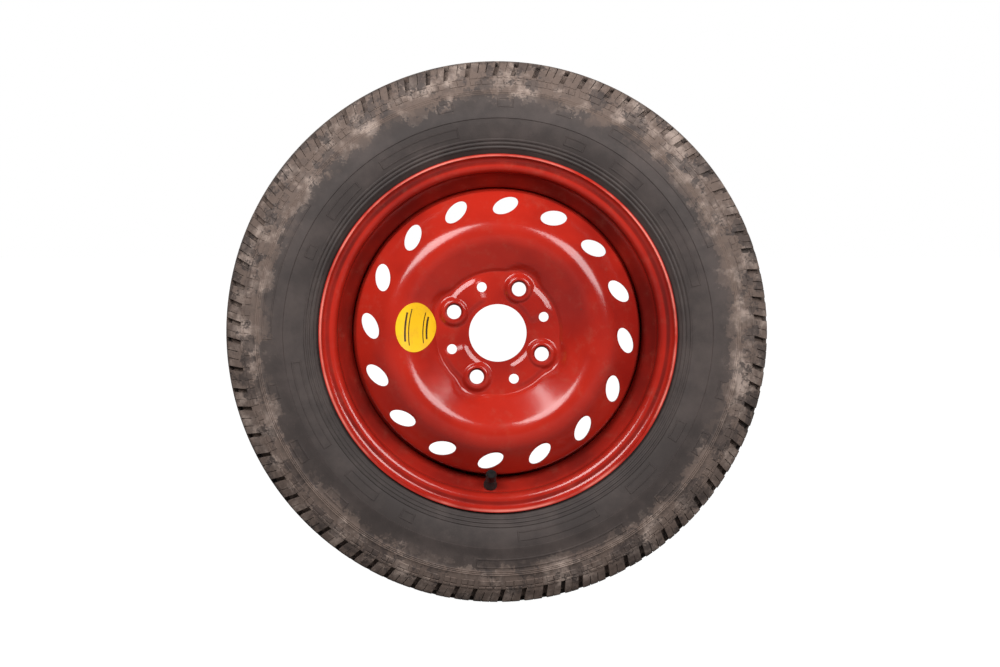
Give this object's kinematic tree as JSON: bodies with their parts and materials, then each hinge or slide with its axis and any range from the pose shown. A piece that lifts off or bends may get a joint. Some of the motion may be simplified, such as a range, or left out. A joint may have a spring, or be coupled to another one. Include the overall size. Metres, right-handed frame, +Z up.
{
  "type": "spare wheel",
  "caption": "Narrow spare tyre on a red pressed steel wheel with slanted oval vents, a four-bolt hub pad and a snap-in valve.",
  "frame": {"origin": "the wheel's centre: the spin axis at the middle of the rim between its flanges", "axes": "the wheel spins about Y, its street side faces -Y and the hub side +Y; Z is up, with the valve near the bottom"},
  "size_m": [0.5508, 0.135, 0.5508],
  "materials": {
    "red_paint": "gloss red paint with small chips",
    "tyre_rubber": "dusty black rubber",
    "valve_rubber": "matt",
    "brass": "turned",
    "white_seal": "matt",
    "seal_rubber": "matt",
    "spring_steel": "drawn wire",
    "cap_plastic": "ribbed, satin",
    "label_paper": "printed sticker"
  },
  "bodies": {
    "wheel": {"rim": "red_paint", "wheel_disc": "red_paint", "tyre": "tyre_rubber", "valve_body": "valve_rubber", "valve_stem": "brass", "core_barrel": "brass", "core_gasket": "white_seal", "core_spring": "spring_steel", "round_label": "label_paper"},
    "core_pin": {"core_pin": "brass", "core_cup": "seal_rubber"},
    "cap_seal": {"cap_seal": "seal_rubber"},
    "valve_cap": {"valve_cap": "cap_plastic"}
  },
  "joints": [
    {"name": "core_pin_press", "type": "slide", "parent": "wheel", "child": "core_pin", "axis": [-0.0309, 0.7544, -0.6556], "range_m": [0, 0.0015], "stiffness_N_per_m": 400, "springref_m": -0.002, "deforming": ["core_spring"]},
    {"name": "cap_lift", "type": "slide", "parent": "wheel", "child": "cap_seal", "axis": [0.0309, -0.7544, 0.6556], "range_m": [0, 0.008]},
    {"name": "cap_turn", "type": "hinge", "parent": "cap_seal", "child": "valve_cap", "pos_m": [-0.00731, -0.03313, -0.15506], "axis": [0.0309, -0.7544, 0.6556], "range_deg": [0, 3628]}
  ],
  "couplings": [
    {"joint": "cap_turn", "follows": "cap_lift", "rad_per_m": 7913.3}
  ]
}
